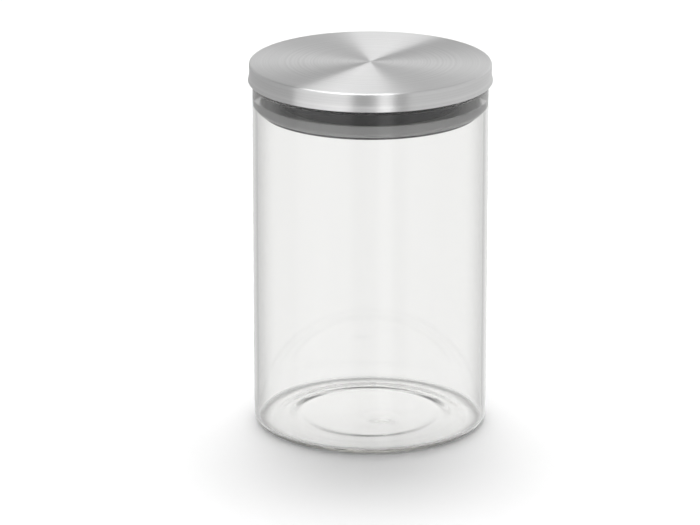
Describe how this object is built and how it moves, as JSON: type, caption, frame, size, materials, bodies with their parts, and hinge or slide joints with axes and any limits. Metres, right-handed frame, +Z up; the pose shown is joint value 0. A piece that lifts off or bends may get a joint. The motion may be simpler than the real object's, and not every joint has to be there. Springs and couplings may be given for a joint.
{
  "type": "lidded glass canister",
  "caption": "Straight-sided clear glass kitchen canister with a brushed steel push-in lid, a moulded plug and a soft lip seal.",
  "frame": {"origin": "centre of the ring that the jar stands on, at the bottom of the object", "axes": "+Z up through the lid, along the axis that every piece is turned about; +X and +Y level"},
  "size_m": [0.1036, 0.1036, 0.159],
  "materials": {
    "glass": "clear polished borosilicate",
    "steel": "circular brushed",
    "insert": "smooth moulded",
    "seal": "satin silicone"
  },
  "bodies": {
    "jar": {"glass_jar": "glass"},
    "seal": {"seal_ring": "seal"},
    "lid": {"steel_cap": "steel", "plug_insert": "insert"}
  },
  "joints": [
    {"name": "lid_lift", "type": "slide", "parent": "jar", "child": "seal", "axis": [0, 0, 1], "range_m": [0, 0.06]},
    {"name": "lid_twist", "type": "hinge", "parent": "seal", "child": "lid", "pos_m": [0, 0, 0.14], "axis": [0, 0, 1], "continuous": true}
  ]
}
